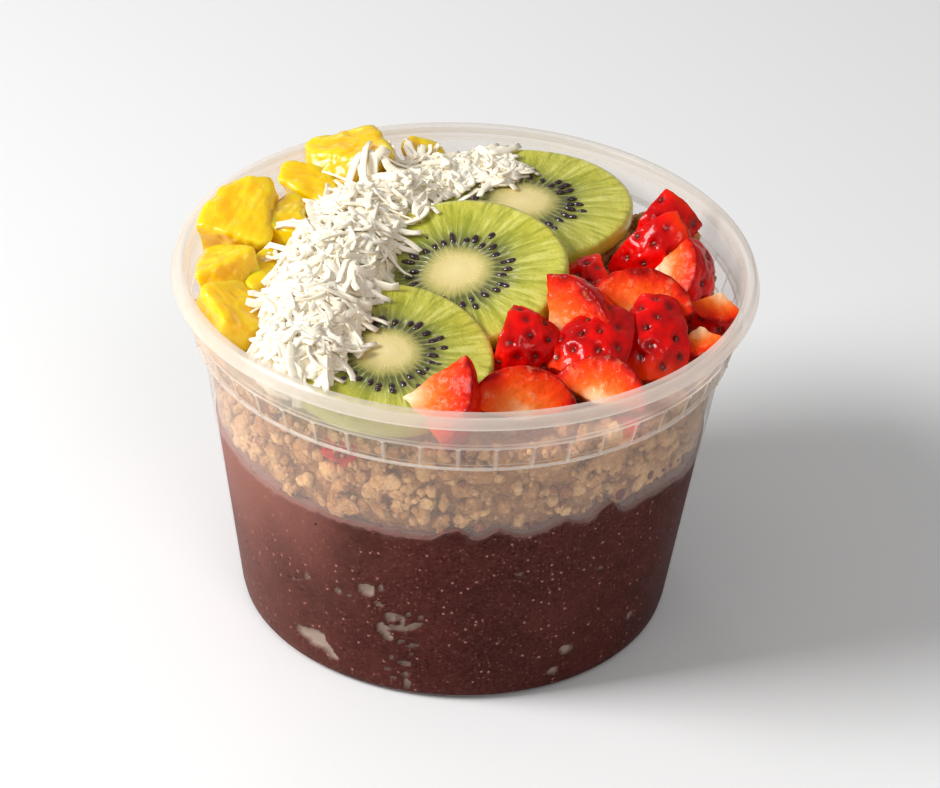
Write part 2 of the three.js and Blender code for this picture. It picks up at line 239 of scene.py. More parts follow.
TUB_HEIGHT = 76.2 * MM
WALL = 0.8 * MM
BASE_RADIUS = 44.0 * MM
SHOULDER_RADIUS = 53.3 * MM
LEDGE_Z = 67.5 * MM
FLOOR_TOP = 1.5 * MM
FOOT_RECESS = 0.6 * MM
FOOT_RADIUS = 36.0 * MM
CORNER = 1.8 * MM
RIB_FOOT_Z = 61.8 * MM
RIB_FOOT_RADIUS = 53.85 * MM
LEDGE_RADIUS = 55.4 * MM
NECK_TOP_RADIUS = 56.0 * MM
LIP_BOTTOM_Z = 73.4 * MM
LIP_RADIUS = 58.4 * MM
LIP_TOP_RADIUS = 57.8 * MM
RIM_RADIUS = 55.6 * MM
RIDGE = 0.3 * MM
PANEL_DEPTH = 0.45 * MM
RIB_COUNT = 48
STEPS_PER_RIB = 5
RIB_DRAFT = 0.8
EDGE_ROUNDING = 0.22 * MM
ACAI_LEVEL = 42.7 * MM
# Crests and hollows against the wall: degrees round from the front, height, half width in degrees
ACAI_CRESTS = [
    (0, 2.6, 3.5), (9.5, 2.0, 3), (25, 2.8, 4), (36, 3.8, 3.5), (-68, 0.7, 10), (73, -2.5, 12),
    (112, 2.2, 5), (148, 2.8, 6), (-112, 2.4, 5), (-150, 1.8, 6),
]
WALL_ROWS = np.linspace(5, 57, 53) * MM


def wall_radius(z):
    return BASE_RADIUS + (SHOULDER_RADIUS - BASE_RADIUS) * z / LEDGE_Z


def band_radius(z):
    return RIB_FOOT_RADIUS + (LEDGE_RADIUS - RIB_FOOT_RADIUS) * (z - RIB_FOOT_Z) / (LEDGE_Z - RIB_FOOT_Z)


# The outside and the inside of the tub as radius and height: from the middle of the base up to the
# top of the rim, and from there down to the middle of the floor
OUTER_PROFILE = [
    (0.0, FOOT_RECESS),
    (FOOT_RADIUS, FOOT_RECESS),
    (FOOT_RADIUS + FOOT_RECESS, 0.0),
    (BASE_RADIUS - CORNER, 0.0),
    (BASE_RADIUS - CORNER * 0.6, CORNER * 0.09),
    (BASE_RADIUS - CORNER * 0.25, CORNER * 0.3),
    (BASE_RADIUS - CORNER * 0.03, CORNER * 0.65),
    (wall_radius(CORNER), CORNER),
    *[(wall_radius(z), z) for z in WALL_ROWS],
    (wall_radius(RIB_FOOT_Z - RIDGE), RIB_FOOT_Z - RIDGE),
    (RIB_FOOT_RADIUS, RIB_FOOT_Z - RIDGE),
    (RIB_FOOT_RADIUS, RIB_FOOT_Z + RIDGE),
    (band_radius(RIB_FOOT_Z + RIDGE) - PANEL_DEPTH, RIB_FOOT_Z + RIDGE),
    (band_radius(LEDGE_Z - RIDGE) - PANEL_DEPTH, LEDGE_Z - RIDGE),
    (LEDGE_RADIUS, LEDGE_Z - RIDGE),
    (LEDGE_RADIUS, LEDGE_Z + RIDGE),
    (NECK_TOP_RADIUS, LIP_BOTTOM_Z),
    (NECK_TOP_RADIUS + 0.2 * MM, TUB_HEIGHT - 1.2 * MM),
    (LIP_TOP_RADIUS - 0.4 * MM, TUB_HEIGHT - 1.2 * MM),
    (LIP_RADIUS - WALL, LIP_BOTTOM_Z),
    (LIP_RADIUS, LIP_BOTTOM_Z),
    (LIP_TOP_RADIUS, TUB_HEIGHT - 0.7 * MM),
    (LIP_TOP_RADIUS - 0.7 * MM, TUB_HEIGHT),
    (RIM_RADIUS + 0.5 * MM, TUB_HEIGHT),
]
INNER_PROFILE = [
    (RIM_RADIUS, TUB_HEIGHT - 0.4 * MM),
    (RIM_RADIUS - 0.5 * MM, LIP_BOTTOM_Z),
    (LEDGE_RADIUS - WALL - 0.1 * MM, LEDGE_Z + 0.6 * MM),
    (band_radius(LEDGE_Z) - PANEL_DEPTH - WALL, LEDGE_Z - 0.5 * MM),
    (band_radius(RIB_FOOT_Z) - PANEL_DEPTH - WALL, RIB_FOOT_Z + 0.4 * MM),
    (wall_radius(RIB_FOOT_Z) - WALL, RIB_FOOT_Z - 0.6 * MM),
    *[(wall_radius(z) - WALL, z) for z in WALL_ROWS[::-1]],
    (wall_radius(FLOOR_TOP + CORNER) - WALL, FLOOR_TOP + CORNER),
    (wall_radius(FLOOR_TOP) - WALL - CORNER * 0.3, FLOOR_TOP + CORNER * 0.3),
    (wall_radius(FLOOR_TOP) - WALL - CORNER, FLOOR_TOP),
    (0.0, FLOOR_TOP),
]


def from_front(x, y):
    """Degrees round the tub from the front, positive to the right."""
    return degrees(atan2(x, -y))


def smooth(value, low, high):
    share = min(1.0, max(0.0, (value - low) / (high - low)))
    return share * share * (3 - 2 * share)


def acai_top(x, y):
    around = from_front(x, y)
    near_wall = smooth(hypot(x, y), 35 * MM, 48 * MM)
    crests = sum(height * exp(-(((around - at) / width) ** 2)) for at, height, width in ACAI_CRESTS)
    swell = 0.5 * sin(x / (7 * MM)) * cos(y / (9 * MM))
    place = Vector((x, y, 0))
    ripple = 0.8 * noise(place / (2.4 * MM)) + 0.5 * noise(place / (1.0 * MM))
    return ACAI_LEVEL + (swell + near_wall * (crests + ripple)) * MM


def turned(profile, steps):
    """A bmesh turned about the vertical axis through the origin."""
    shape = bmesh.new()
    points = [shape.verts.new((radius, 0.0, height)) for radius, height in profile]
    edges = [shape.edges.new(pair) for pair in zip(points, points[1:])]
    bmesh.ops.spin(shape, geom=points + edges, cent=(0, 0, 0), axis=(0, 0, 1),
                   angle=tau, steps=steps, use_merge=True)
    bmesh.ops.remove_doubles(shape, verts=shape.verts, dist=1e-6)
    bmesh.ops.recalc_face_normals(shape, faces=shape.faces)
    return shape


def piece(name, shape, finish, slot, *nodes):
    """Makes an object of a bmesh, riding on the one body, and hides the nodes it stands for."""
    data = bpy.data.meshes.new(name)
    shape.to_mesh(data)
    shape.free()
    data.shade_smooth()
    made = linked(name, data)
    data.materials.append(finish.material)
    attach(made, "root")
    if nodes:
        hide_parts(*nodes)
    return made


def unit_ball(finer):
    """The corners and faces of a ball of radius 1, to be copied many times."""
    ball = bmesh.new()
    bmesh.ops.create_icosphere(ball, subdivisions=finer, radius=1.0)
    corners = np.array([vert.co for vert in ball.verts])
    faces = np.array([[vert.index for vert in face.verts] for face in ball.faces])
    ball.free()
    return corners, faces


def gathered(bodies):
    """One shape of many small closed bodies: the points, the faces and a tone from 0 to 1 of each."""
    points, faces, tones = zip(*bodies)
    sizes = [len(corners) for corners in points]
    faces = [corners + first for corners, first in zip(faces, np.cumsum([0] + sizes))]
    data = bpy.data.meshes.new("gathered")
    data.from_pydata(np.concatenate(points), [], np.concatenate(faces))
    data.attributes.new("tone", "FLOAT", "POINT").data.foreach_set("value", np.repeat(tones, sizes))
    shape = bmesh.new()
    shape.from_mesh(data)
    bpy.data.meshes.remove(data)
    return shape


def placed(matrix, points):
    """An array of points moved by a matrix."""
    matrix = np.array(matrix)
    return points @ matrix[:3, :3].T + matrix[:3, 3]


tub_shape = turned(OUTER_PROFILE + INNER_PROFILE, RIB_COUNT * STEPS_PER_RIB)
half_pitch = Matrix.Rotation(pi / RIB_COUNT, 3, "Z")
bmesh.ops.rotate(tub_shape, verts=tub_shape.verts, cent=(0, 0, 0), matrix=half_pitch)
rib_faces = []
for face in tub_shape.faces:
    middle = face.calc_center_median()
    radius = hypot(middle.x, middle.y)
    share = (degrees(atan2(middle.y, middle.x)) / (360 / RIB_COUNT) + 0.5) % 1
    on_band = RIB_FOOT_Z + RIDGE < middle.z < LEDGE_Z - RIDGE and radius > band_radius(middle.z) - WALL
    if on_band and abs(share - 0.5) < 0.5 / STEPS_PER_RIB:
        rib_faces.append(face)
raised = bmesh.ops.extrude_discrete_faces(tub_shape, faces=rib_faces)["faces"]
on_rib = tub_shape.verts.layers.float.new("on_rib")
for face in raised:
    middle = face.calc_center_median()
    outward = Vector((middle.x, middle.y, 0)).normalized()
    sideways = Vector((-outward.y, outward.x, 0))
    for vert in face.verts:
        vert.co += outward * PANEL_DEPTH - sideways * (vert.co - middle).dot(sideways) * RIB_DRAFT
        vert[on_rib] = 1.0
frozen_on = tub_shape.verts.layers.float.new("frozen_on")
for vert in tub_shape.verts:
    x, y, z = vert.co
    vert[frozen_on] = 1 - smooth(z - acai_top(x, y), -0.6 * MM, 0.6 * MM)

# Where the frozen blend sticks to the wall the haze all but goes, as with wet frosted glass.
plastic = Finish("milky_polypropylene", IOR=1.49, Roughness=0.3)
cloudiness = plastic.noise(60.0, 2.0)
height = plastic.part("Z")


def line_at(level):
    """1 on a thin ring round the tub at a height, 0 away from it."""
    return 1 - plastic.step(plastic.maths("ABSOLUTE", height - level), 0.2 * MM, 0.45 * MM)


lip = plastic.step(height, LIP_BOTTOM_Z - 0.2 * MM, LIP_BOTTOM_Z + 0.2 * MM)
neck = plastic.step(height, LEDGE_Z - 0.2 * MM, LEDGE_Z + 0.2 * MM)
# More haze on thin rings at the ledge, the rib foot and the lip bottom: partly the plastic's bends, partly
# painted highlight lines.
ring_haze_and_highlights = (line_at(LEDGE_Z) + line_at(RIB_FOOT_Z)) * 0.5 + line_at(LIP_BOTTOM_Z) * 0.3
stuck = plastic.attribute("frozen_on")
facing = plastic.node("LayerWeight", inputs={"Blend": 0.5}, output="Facing")
haze = 0.13 + cloudiness * 0.04 + neck * 0.16 + lip * 0.1 + ring_haze_and_highlights + plastic.attribute("on_rib") ** 2.0 * 0.6
haze = haze * (1 - stuck * 0.98) * (0.8 + facing ** 3.0 * 1.5)
plastic.feed(Base_Color=plastic.blend(cloudiness, (254, 247, 238), (248, 238, 226)), Alpha=haze * 0.6)
glow = plastic.node("BsdfTranslucent", inputs={"Color": (255, 248, 238)})
film = plastic.node("MixShader",
                    inputs={0: haze * 0.5, 1: Field(plastic, plastic.shader.outputs[0]), 2: glow})
sheen = plastic.node("BsdfAnisotropic", inputs={"Roughness": 0.24})
shine = (0.02 + facing ** 5.0 * 0.4) * (1 - stuck * 0.8)
surface = plastic.node("MixShader", inputs={0: shine, 1: film, 2: sheen})
plastic.plug(plastic.tree.nodes["Material Output"].inputs["Surface"], surface)

tub = piece("deli_tub", tub_shape, plastic, "tub_plastic", "tub")
rounding = tub.modifiers.new("rounding", "BEVEL")
rounding.width, rounding.segments, rounding.limit_method = EDGE_ROUNDING, 2, "ANGLE"
rounding.angle_limit = radians(25)


# ------ acai blend
# Frozen acai berries blended smooth, thick enough to hold its shape and frozen to the tub's wall.
# Here and there it misses the wall and leaves a flat pocket of air, and smears cling above its edge.

ACAI_STEPS, ACAI_ROWS, ACAI_RINGS = 480, 76, 12
INTO_WALL, INTO_FLOOR = 0.45 * MM, 0.75 * MM
POCKET_DEPTH = 0.9 * MM
FAR_UNDER = 5.0
# Air pockets: degrees round from the front, height, half length, half width (mm), lean in degrees
AIR_POCKETS = [
    (-37.3, 8.1, 2.9, 2.3, 9), (-41.5, 7.9, 1.9, 1.3, -20), (-33.4, 6.3, 2.6, 1.1, -46),
    (-20.9, 26.3, 1.6, 1.7, 18), (-38.0, 24.0, 0.7, 0.65, 0), (-41.1, 21.9, 1.5, 0.2, 25),
    (-28.9, 23.6, 0.6, 0.6, 0), (-25.7, 23.6, 0.5, 0.5, 0), (-17.5, 27.7, 0.4, 0.9, 0),
    (-18.1, 23.5, 0.9, 0.4, -31), (-14.8, 20.7, 1.3, 0.95, 26), (-17.1, 17.1, 1.1, 1.3, 16),
    (-15.9, 15.3, 0.9, 1.0, 15), (-13.7, 17.9, 1.8, 0.65, 10), (-12.2, 20.2, 0.5, 1.4, 12),
    (-9.4, 19.0, 2.0, 0.65, 34), (-10.5, 22.1, 0.45, 0.5, 0), (-7.4, 21.6, 0.45, 0.4, 0),
    (-12.6, 14.4, 0.75, 0.3, 35), (-9.2, 14.0, 1.15, 0.45, 29), (-11.6, 8.9, 1.25, 0.5, -8),
    (-14.9, 9.8, 0.4, 0.5, 0), (-11.4, 5.8, 0.45, 0.55, 0), (-11.1, 3.7, 0.6, 0.7, 0),
    (-14.5, 4.2, 0.5, 0.3, 0), (-16.1, 6.4, 0.5, 0.3, 0), (-9.7, 11.7, 0.4, 0.3, 0),
    (30.5, 10.1, 1.7, 0.95, -29), (27.6, 5.0, 1.15, 1.0, 22), (52.3, 11.0, 0.9, 0.9, -30),
    (15.5, 33.0, 0.4, 0.45, 0), (37.2, 29.6, 0.8, 0.3, -43),
]
BACK_POCKETS = 16

INNER_RADII, INNER_HEIGHTS = np.array(INNER_PROFILE[-2::-1]).T


def inner_radius(z):
    return np.interp(z, INNER_HEIGHTS, INNER_RADII)


def filled_to(top, radius_at, rows, rings, steps, bottom):
    """A body that fills the tub from bottom up to the level that top gives at each place."""
    low = bottom[-1][1]
    flat_top = low + 10 * MM
    profile = list(bottom)
    profile += [(BASE_RADIUS, low + (flat_top - low) * (row + 1) / rows) for row in range(rows)]
    profile += [(BASE_RADIUS * (1 - (ring + 1) / rings), flat_top) for ring in range(rings)]
    shape = turned(profile, steps)
    for vert in shape.verts:
        if vert.co.z <= low + 1e-7:
            continue
        radius = hypot(vert.co.x, vert.co.y)
        share = (vert.co.z - low) / (flat_top - low)
        outward = Vector((vert.co.x, vert.co.y, 0)) / max(radius, 1e-9)
        edge = outward * radius_at(ACAI_LEVEL)
        level = top(edge.x, edge.y)
        if share < 1 - 1e-6:
            z = low + share * (level - low)
            vert.co = outward * radius_at(z)
        else:
            vert.co = outward * (radius / BASE_RADIUS) * radius_at(level)
            z = top(vert.co.x, vert.co.y)
        vert.co.z = z
    return shape


chance = random.Random(5)
pockets = AIR_POCKETS + [
    (chance.uniform(80, 280), chance.uniform(4, 34), chance.uniform(0.4, 2.0),
     chance.uniform(0.3, 1.2), chance.uniform(-45, 45)) for _ in range(BACK_POCKETS)
]


def pocket_share(x, y, z):
    """1 in the middle of an air pocket, 0 outside, with a ragged edge."""
    share = 0.0
    around = from_front(x, y) % 360
    for at, height, length, width, lean in pockets:
        turn = (around - at + 180) % 360 - 180
        along = radians(turn) * hypot(x, y) / MM
        up = z / MM - height
        if abs(along) > 4 or abs(up) > 4:
            continue
        slope = radians(lean)
        first = (along * cos(slope) + up * sin(slope)) / length
        second = (up * cos(slope) - along * sin(slope)) / width
        spot = Vector((along, up, at))
        ragged = 0.3 * noise(spot * 1.1) + 0.12 * noise(spot * 3)
        share = max(share, 1 - smooth(hypot(first, second) + ragged, 0.85, 1.1))
    return share


acai_bottom = [
    (0.0, FLOOR_TOP - INTO_FLOOR),
    (BASE_RADIUS - CORNER * 1.1, FLOOR_TOP - INTO_FLOOR),
    (BASE_RADIUS - CORNER * 0.4, FLOOR_TOP - INTO_FLOOR * 0.75),
    (wall_radius(FLOOR_TOP) - CORNER * 0.3, FLOOR_TOP),
    (wall_radius(FLOOR_TOP + CORNER) - WALL + INTO_WALL, FLOOR_TOP + CORNER),
]
acai_shape = filled_to(acai_top, lambda z: inner_radius(z) + INTO_WALL, ACAI_ROWS, ACAI_RINGS,
                       ACAI_STEPS, acai_bottom)
in_pocket = acai_shape.verts.layers.float.new("air_pocket")
under_edge = acai_shape.verts.layers.float.new("under_edge")
for vert in acai_shape.verts:
    x, y, z = vert.co
    radius = hypot(x, y)
    if radius > 0.9 * inner_radius(z) and z > FLOOR_TOP + 0.1 * MM:
        vert[under_edge] = (acai_top(x, y) - z) / MM
        share = pocket_share(x, y, z)
        vert[in_pocket] = share
        inward = 1 - share * POCKET_DEPTH / radius
        vert.co.x, vert.co.y = x * inward, y * inward
    else:
        vert[under_edge] = FAR_UNDER

acai = Finish("acai_blend", Specular_IOR_Level=0.03)
mottle = acai.noise(60.0)
grain = acai.noise(1400.0, 4.0, 0.7)
base = acai.blend(acai.step(mottle, 0.3, 0.7), (80, 35, 30), (62, 25, 21))
base = acai.tint(base, grain, 0.46, 0.68, 0.4, (112, 62, 54))
base = acai.tint(base, grain, 0.5, 0.36, 0.5, (42, 12, 12))
# Painted light: the blend is painted paler and pinker towards the left side, more so up the wall, where the
# key lamp falls on it.
up_wall = acai.step(acai.part("Z"), 0.01, 0.045)
across = acai.part("X") + (mottle - 0.5) * 0.02
painted_left_light = acai.step(across, -0.008, -0.054) * (0.25 + up_wall * 0.75)
base = acai.blend(painted_left_light * 0.5, base, (190, 130, 114))
for scale, size, colour, strength in (
    (620.0, 0.2, (184, 126, 112), 0.7),
    (1150.0, 0.27, (156, 98, 88), 0.5),
    (340.0, 0.12, (30, 8, 10), 0.9),
):
    chosen = acai.step(acai.part("X", acai.cells(scale, "Color")), 0.6, 0.66)
    dot = 1 - acai.step(acai.cells(scale), size * 0.7, size)
    base = acai.blend(dot * chosen * strength, base, colour)
# Painted highlight: a paler line along the top edge of the blend.
painted_edge_glint = 1 - acai.step(acai.attribute("under_edge"), 0.1, 0.5)
base = acai.blend(painted_edge_glint * 0.5, base, (160, 96, 88))
air = acai.attribute("air_pocket")
base = acai.blend(air * 0.92, base, acai.blend(mottle, (184, 164, 148), (150, 128, 115)))
acai.feed(Base_Color=base, Roughness=0.5 + air * 0.2, Normal=acai.bump(grain, 0.12 * MM, 0.5))
piece("acai_fill", acai_shape, acai, "acai_blend", "acai")

# Smears of the blend that cling to the wall above its edge: degrees from the front, height, size (mm)
SMEARS = [
    (48.8, 48.6, 0.9), (53.9, 47.4, 0.5), (51.8, 46.2, 0.5), (57.2, 47.0, 0.45), (60.9, 46.4, 0.5),
    (64.3, 44.6, 0.7), (48.1, 44.9, 0.7), (45.3, 45.2, 0.6), (42.4, 44.9, 0.5), (31.9, 46.1, 0.55),
    (18.3, 45.4, 0.8), (16.0, 45.8, 0.6), (39.6, 47.6, 1.3),
]
MORE_SMEARS = 110
SMEAR_DEPTH = 0.16 * MM
SMALL_BALL, SMALL_FACES = unit_ball(2)


def outward_at(angle):
    return Vector((sin(angle), -cos(angle), 0))


def at_wall(angle, z, back=0.0):
    """A place inside the tub at an angle and a height, so far back from its wall."""
    return outward_at(angle) * (inner_radius(z) - back) + Vector((0, 0, z))


def edge_level(angle):
    """How high the blend reaches up the wall."""
    edge = outward_at(angle) * inner_radius(ACAI_LEVEL)
    return acai_top(edge.x, edge.y)


chance = random.Random(11)
smears = []
places = list(SMEARS)
for _ in range(MORE_SMEARS):
    around = chance.uniform(-180, 180)
    height = edge_level(radians(around)) / MM + chance.expovariate(0.8)
    places.append((around, height, chance.uniform(0.12, 0.4)))
for around, height, size in places:
    angle = radians(around)
    spot = Matrix.Translation(at_wall(angle, height * MM)) @ Matrix.Rotation(angle, 4, "Z")
    tall = size * chance.uniform(0.7, 1.3)
    spot = spot @ Matrix.Diagonal((size * MM, SMEAR_DEPTH, tall * MM, 1))
    smears.append((placed(spot, SMALL_BALL), SMALL_FACES, 0))
smear = Finish("acai_smears", Roughness=0.35)
smear.feed(Base_Color=smear.blend(smear.noise(700.0), (122, 56, 60), (84, 30, 34)))
piece("acai_smears", gathered(smears), smear, "acai_blend")


# ------ granola
# Oats baked with syrup and broken into clusters of two to eight millimetres, poured over the acai.
# The ones at the outside press flat against the tub, with dark gaps between them, darkened further by painted
# shade on the core behind.

GRANOLA_LEVEL = 65.5 * MM
GRANOLA_DOME = 2.2
GRANOLA_SLOPE = 0.03
PLAN_RADIUS = 52
CORE_BACK = 2.3 * MM
CORE_ROWS, CORE_RINGS, CORE_STEPS = 56, 34, 400
# The core takes a more toasted, darker tone than most clusters: painted shade in the gaps between them.
CORE_SHADE_TONE = 0.93
CLUSTERS_AT_WALL, CLUSTERS_BEHIND, CLUSTERS_ON_TOP = 420, 190, 330
CRUMBS_AT_WALL = 1100
MOST_TRIES = 9000
WALL_TOP = 65.0 * MM
TOP_REACH = 50 * MM
OAT_SLACK = 0.06 * MM
# Places that whole pieces of fruit take up: x, y, z and radius in mm
KEPT_CLEAR = [(31, -38.4, 62, 4.5), (-22.6, -43.6, 58.3, 4.3)]


def granola_top(x, y):
    x, y = x / MM, y / MM
    dome = GRANOLA_DOME * (1 - (x * x + y * y) / PLAN_RADIUS ** 2)
    lumps = 0.7 * sin(x / 2.9 + 1) * cos(y / 3.3) + 0.4 * sin((x + y) / 1.9)
    return GRANOLA_LEVEL + (GRANOLA_SLOPE * y + dome + lumps) * MM


def keep_inside(points, slack):
    """Brings the points that lie outside the tub's inner wall, less the slack, back to it."""
    radius = np.hypot(points[:, 0], points[:, 1])
    share = np.minimum(1.0, (inner_radius(points[:, 2]) - slack) / np.maximum(radius, 1e-9))
    points[:, :2] *= share[:, None]
    return points


def uneven(points, scale, offset=(0, 0, 0)):
    """Smooth random values between about -1 and 1, one for each point."""
    shift = Vector(offset)
    return np.array([noise(Vector(point) * scale + shift) for point in points])


core_low = ACAI_LEVEL - 4 * MM
core_bottom = [(0.0, core_low), (0.5 * BASE_RADIUS, core_low), (BASE_RADIUS, core_low + 0.1 * MM)]
core_shape = filled_to(lambda x, y: granola_top(x, y) - CORE_BACK,
                       lambda z: inner_radius(z) - CORE_BACK, CORE_ROWS, CORE_RINGS, CORE_STEPS, core_bottom)
core_points = np.array([vert.co for vert in core_shape.verts]) / MM
core_bumps = 0.8 * uneven(core_points, 0.42) + 0.55 * uneven(core_points, 0.9)
core_bumps += 0.3 * uneven(core_points, 1.9)
tone = core_shape.verts.layers.float.new("tone")
for vert, bump in zip(core_shape.verts, core_bumps):
    vert[tone] = CORE_SHADE_TONE
    if vert.co.z > core_low + 1 * MM:
        vert.co += vert.co.normalized() * bump * MM
chance = random.Random(21)
CRUMB_BALL, CRUMB_FACES = unit_ball(1)
clusters, crumbs, top_clusters, taken = [], [], [], []


def random_vector(spread):
    return Vector([chance.gauss(0, spread) for _ in range(3)])


def cluster(centre, size, heap):
    """A few balls baked together, with one tone, pressed flat where they meet the wall."""
    seed, colour = chance.uniform(0, 400), chance.random()
    for part in range(int(1.5 + size)):
        shift = random_vector(0.6 if part else 0) * size * MM
        swell = 1 + 0.45 * uneven(SMALL_BALL, 1.3, (seed + part * 3, 0, 0))
        swell += 0.4 * uneven(SMALL_BALL, 3.3, (0, seed, 0))
        reach = size * chance.uniform(0.5, 0.9) * MM * swell
        points = SMALL_BALL * reach[:, None] + np.array(centre + shift)
        heap.append((keep_inside(points, OAT_SLACK), SMALL_FACES, colour))


def free_spot(point, apart):
    for x, y, z, radius in KEPT_CLEAR:
        if (point - Vector((x, y, z)) * MM).length < radius * MM:
            return False
    return all((point - other).length > apart for other in taken)


tries = 0
while len(taken) < CLUSTERS_AT_WALL and tries < MOST_TRIES:
    tries += 1
    angle = chance.uniform(0, tau)
    bottom = edge_level(angle) + 2.2 * MM
    z = bottom + (WALL_TOP - bottom) * chance.random()
    size = chance.choice((1.1, 1.3, 1.6, 2.0, 2.6, 3.4))
    centre = at_wall(angle, z, 0.62 * size * MM)
    if free_spot(centre, (1.2 + 0.75 * size) * MM):
        taken.append(centre)
        cluster(centre, size, clusters)
for _ in range(CLUSTERS_BEHIND):
    z = chance.uniform(46, 65) * MM
    behind = at_wall(chance.uniform(0, tau), z, 2.9 * MM)
    cluster(behind, chance.uniform(1.6, 2.4), clusters)
for _ in range(CRUMBS_AT_WALL):
    z = chance.uniform(45.5, WALL_TOP / MM) * MM
    depth = chance.uniform(0.3, 2.2) * MM
    crumb = at_wall(chance.uniform(0, tau), z, depth)
    turn = chance.uniform(0, 6)
    axis = random_vector(1).normalized()
    flat = Matrix.Diagonal([chance.uniform(0.3, 0.9) * MM for _ in range(3)])
    points = CRUMB_BALL @ np.array(Matrix.Rotation(turn, 3, axis) @ flat).T + np.array(crumb)
    crumbs.append((keep_inside(points, OAT_SLACK), CRUMB_FACES, chance.random()))
for _ in range(CLUSTERS_ON_TOP):
    angle, spread = chance.uniform(0, tau), TOP_REACH * sqrt(chance.random())
    x, y = spread * sin(angle), spread * cos(angle)
    cluster(Vector((x, y, granola_top(x, y) - 1.1 * MM)), chance.uniform(1.2, 2.3), top_clusters)
# Bigger crumbs that lie among the toppings: x, y, z and size in mm
CRUMBS = [(-39.5, -30.0, 68.0, 1.6), (-37.5, -32.5, 68.2, 1.2), (46.5, 18.5, 73.0, 1.4)]
for x, y, z, size in CRUMBS:
    cluster(Vector((x, y, z)) * MM, size, top_clusters)

oats = Finish("granola", Roughness=0.8, Specular_IOR_Level=0.25)
crumbly = oats.noise(1100.0, 4.0, 0.6)
flake = oats.cells(800.0)
kind = oats.attribute("tone")
toast = oats.step(oats.noise(260.0) + kind * 0.45, 0.45, 0.95)
toasted = oats.blend(toast, (244, 192, 132), (196, 136, 80))
toasted = oats.tint(toasted, crumbly, 0.5, 0.72, 0.5, (160, 102, 58))
toasted = oats.tint(toasted, flake, 0.35, 0.1, 0.4, (250, 218, 168))
toasted = oats.tint(toasted, kind, 0.965, 0.975, 0.7, (150, 48, 36))
oats.feed(Base_Color=toasted, Normal=oats.bump(crumbly + flake * 0.8, 0.7 * MM))
piece("granola_core", core_shape, oats, "granola", "granola")
piece("granola_clusters", gathered(clusters), oats, "granola")
piece("granola_top", gathered(top_clusters), oats, "granola")
piece("granola_crumbs", gathered(crumbs), oats, "granola")


# ------ kiwi
# Three cross slices of a peeled kiwi fruit, four millimetres thick and wet from the knife. Each has
# a pale core, a ring of dark seeds and fine pale rays, and each leans on the one behind it.

KIWI_THICKNESS = 4.0 * MM
# Centre of the top face, half width and half depth (mm), lean and its direction in degrees
KIWI_SLICES = {
    "kiwi_slice_back": ((11.0, 29.5, 73.2), (22.8, 21.3), 2.8, -90),
    "kiwi_slice_middle": ((-1.8, -1.0, 74.0), (21.7, 21.7), 14.5, -125),
    "kiwi_slice_front": ((-14.5, -29.0, 72.0), (20.6, 22.0), 7.4, -73),
}
RAYS = 38
SEED_RING, SEED_SPOKES = 0.46, 27
SEED_DEPTH = 0.96
FACE_RINGS, BACK_RINGS, SLICE_STEPS = 30, 6, 228
FLAT_SHARE = 0.955

kiwi = Finish("kiwi_flesh", Subsurface_Weight=0.3, Subsurface_Radius=(1.0, 1.0, 0.25),
              Subsurface_Scale=2.0 * MM, Coat_Roughness=0.1, IOR=1.4)
disc = kiwi.attribute("disc", "Vector")
flat = kiwi.vector("MULTIPLY", disc, (1, 1, 0))
ring = kiwi.vector("LENGTH", flat, output="Value")
around = kiwi.maths("ARCTAN2", kiwi.part("Y", disc), kiwi.part("X", disc))
direction = kiwi.vector("NORMALIZE", flat)
along_ray = kiwi.node("CombineXYZ", inputs={"X": 0.0, "Y": 0.0, "Z": ring * 0.16})
streaks = kiwi.noise(12.0, 6.0, 0.75, vector=kiwi.vector("ADD", direction, along_ray))
broad = kiwi.noise(3.4, 2.0, vector=kiwi.vector("ADD", direction, along_ray))
wobble = kiwi.noise(3.0, 2.0, vector=disc)
rayed = kiwi.step(ring, 0.12, 0.3)
zone = ring + (wobble - 0.5) * 0.1 + (streaks - 0.5) * rayed * 0.16
flesh = kiwi.ramp(
    zone,
    (0.00, (236, 218, 158)), (0.21, (222, 204, 134)), (0.30, (178, 170, 92)),
    (0.36, (98, 100, 38)), (0.49, (110, 118, 34)), (0.64, (162, 164, 40)),
    (0.86, (196, 192, 58)), (0.97, (206, 198, 70)), (1.00, (180, 168, 34)),
)
outer = kiwi.step(ring, 0.4, 0.62)
flesh = kiwi.tint(flesh, broad, 0.4, 0.65, outer * 0.5, (214, 210, 92))
flesh = kiwi.tint(flesh, streaks, 0.5, 0.38, outer * 0.6, (140, 148, 20))
flesh = kiwi.tint(flesh, streaks, 0.52, 0.62, outer * 0.6, (230, 228, 132))
rays = kiwi.maths("SINE", around * RAYS + (wobble - 0.5) * 9.0) + (streaks - 0.5) * 2.0
seed_zone = kiwi.step(ring, 0.28, 0.34) * (1 - kiwi.step(ring, 0.45, 0.7))
flesh = kiwi.tint(flesh, rays, 0.6, 1.1, seed_zone * 0.6, (206, 202, 140))
rind_side = kiwi.step(kiwi.part("Z", disc), -0.05, -0.2)
flesh = kiwi.blend(rind_side * 0.85, flesh, (196, 196, 62))
wet = kiwi.noise(420.0, 3.0, 0.6)
relief = kiwi.bump(streaks * rayed, 0.6 * MM, 0.55)
kiwi.feed(
    Base_Color=flesh, Roughness=0.3 + kiwi.step(wet, 0.4, 0.7) * 0.2, Coat_Weight=0.7 + seed_zone * 0.3,
    Normal=kiwi.bump(wet * (0.25 + rayed * 0.75), 0.6 * MM, 0.7, relief),
)


def shaped(shape, points, **numbers):
    """Moves the corners of a bmesh to points and keeps what its finish reads at each corner."""
    for name, values in numbers.items():
        layers = shape.verts.layers.float if np.ndim(values) == 1 else shape.verts.layers.float_vector
        layer = layers.new(name)
        for vert, value in zip(shape.verts, np.asarray(values).tolist()):
            vert[layer] = value
    for vert, point in zip(shape.verts, points):
        vert.co = point


